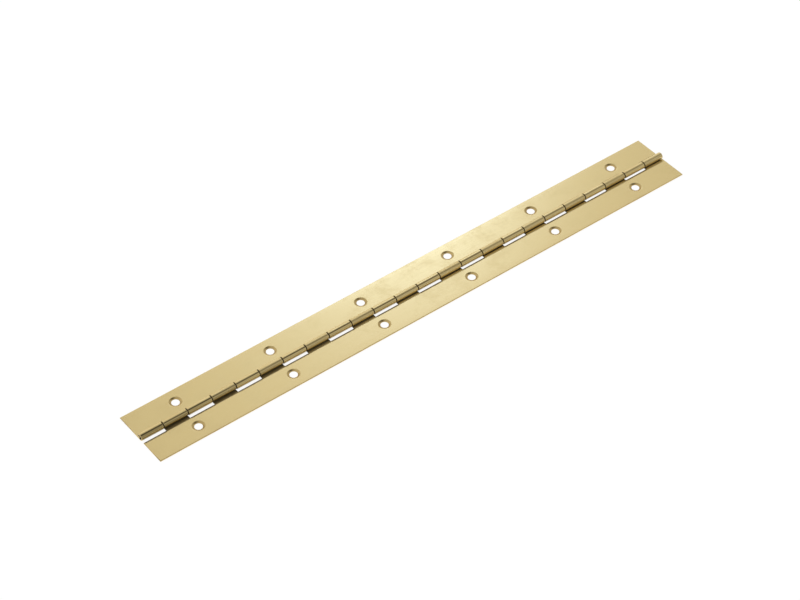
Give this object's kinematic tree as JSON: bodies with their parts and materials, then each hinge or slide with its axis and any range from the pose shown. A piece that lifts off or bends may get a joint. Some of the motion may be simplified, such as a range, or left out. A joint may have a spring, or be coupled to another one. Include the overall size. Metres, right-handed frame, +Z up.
{
  "type": "piano hinge",
  "caption": "Long brass continuous hinge with two notched leaves rolled into interleaved knuckles round one pin, each leaf with a row of countersunk screw holes.",
  "frame": {"origin": "under the middle of the pin, on the plane that both leaves lie on when the hinge is open flat", "axes": "+X along the pin, +Y towards the back leaf's outer edge, +Z up out of the countersunk side"},
  "size_m": [0.3028, 0.032, 0.0035],
  "materials": {
    "leaf_brass": "satin, with a fine grain along the strip",
    "pin_steel": "drawn wire, dull"
  },
  "bodies": {
    "back_leaf": {"back_leaf": "leaf_brass", "hinge_pin": "pin_steel"},
    "front_leaf": {"front_leaf": "leaf_brass"}
  },
  "joints": [
    {"name": "leaf_swing", "type": "hinge", "parent": "back_leaf", "child": "front_leaf", "pos_m": [0, 0, 0.00175], "axis": [-1, 0, 0], "range_deg": [-90, 180]}
  ]
}
